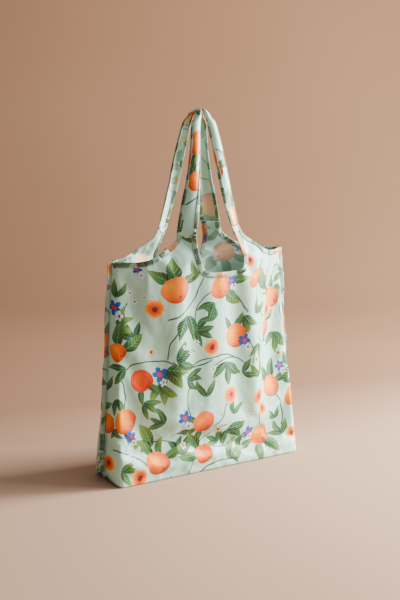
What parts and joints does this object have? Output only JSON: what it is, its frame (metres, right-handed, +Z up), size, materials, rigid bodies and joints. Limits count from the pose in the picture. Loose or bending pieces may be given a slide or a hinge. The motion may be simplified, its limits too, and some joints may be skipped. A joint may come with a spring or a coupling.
{
  "type": "foldable tote bag",
  "caption": "Foldaway shopping tote of thin printed cloth, with a boxed base, looped vest handles, bound edges and an inner stow pouch with a snap flap.",
  "frame": {"origin": "middle of the underside of the flat base", "axes": "+Z up to the handles' peak, +X to the bag's right seen from the front, front panel faces -Y"},
  "size_m": [0.419, 0.1296, 0.6599],
  "materials": {
    "print_cloth": "thin satin polyester, printed with fruit, leaves and blossom on mint",
    "binding": "the same printed cloth, folded and stitched over the edges",
    "pouch_cloth": "the same printed cloth",
    "stud": "satin press stud",
    "label": "blank woven satin tape"
  },
  "bodies": {
    "gusset": {"base_panel": "print_cloth", "left_base_corner": "print_cloth", "right_base_corner": "print_cloth", "left_side_seam": "binding", "right_side_seam": "binding", "care_label": "label"},
    "front": {"front_panel": "print_cloth", "front_neck_binding": "binding", "front_left_armhole_binding": "binding", "front_right_armhole_binding": "binding", "front_left_hem": "print_cloth", "front_right_hem": "print_cloth"},
    "back": {"back_panel": "print_cloth", "back_neck_binding": "binding", "back_left_armhole_binding": "binding", "back_right_armhole_binding": "binding", "back_left_hem": "print_cloth", "back_right_hem": "print_cloth", "stow_pouch": "pouch_cloth", "pouch_mouth_binding": "binding", "stud_post": "stud"},
    "left_loop": {"left_front_strap": "print_cloth", "left_back_strap": "print_cloth", "left_outer_binding": "binding", "left_inner_binding": "binding"},
    "right_loop": {"right_front_strap": "print_cloth", "right_back_strap": "print_cloth", "right_outer_binding": "binding", "right_inner_binding": "binding"},
    "flap": {"pouch_flap": "pouch_cloth", "flap_binding": "binding", "stud_cap": "stud", "stud_socket": "stud"}
  },
  "joints": [
    {"name": "fold_flat", "type": "slide", "parent": "gusset", "child": "front", "axis": [0, 1, 0], "range_m": [0, 0.0525], "deforming": ["front_panel", "front_neck_binding", "front_left_armhole_binding", "front_right_armhole_binding", "front_left_hem", "front_right_hem", "base_panel", "left_base_corner", "right_base_corner"]},
    {"name": "fold_flat_back", "type": "slide", "parent": "gusset", "child": "back", "axis": [0, -1, 0], "range_m": [0, 0.0525], "deforming": ["back_panel", "back_neck_binding", "back_left_armhole_binding", "back_right_armhole_binding", "back_left_hem", "back_right_hem"]},
    {"name": "left_handle_swing", "type": "hinge", "parent": "gusset", "child": "left_loop", "pos_m": [-0.051, 0, 0.45], "axis": [0, -1, 0], "range_deg": [0, 60]},
    {"name": "right_handle_swing", "type": "hinge", "parent": "gusset", "child": "right_loop", "pos_m": [0.051, 0, 0.45], "axis": [0, 1, 0], "range_deg": [0, 60]},
    {"name": "pouch_flap_lift", "type": "hinge", "parent": "back", "child": "flap", "pos_m": [0, 0.0535, 0.3387], "axis": [-1, 0, 0], "range_deg": [0, 150]}
  ],
  "couplings": [
    {"joint": "fold_flat_back", "follows": "fold_flat", "ratio": 1}
  ]
}
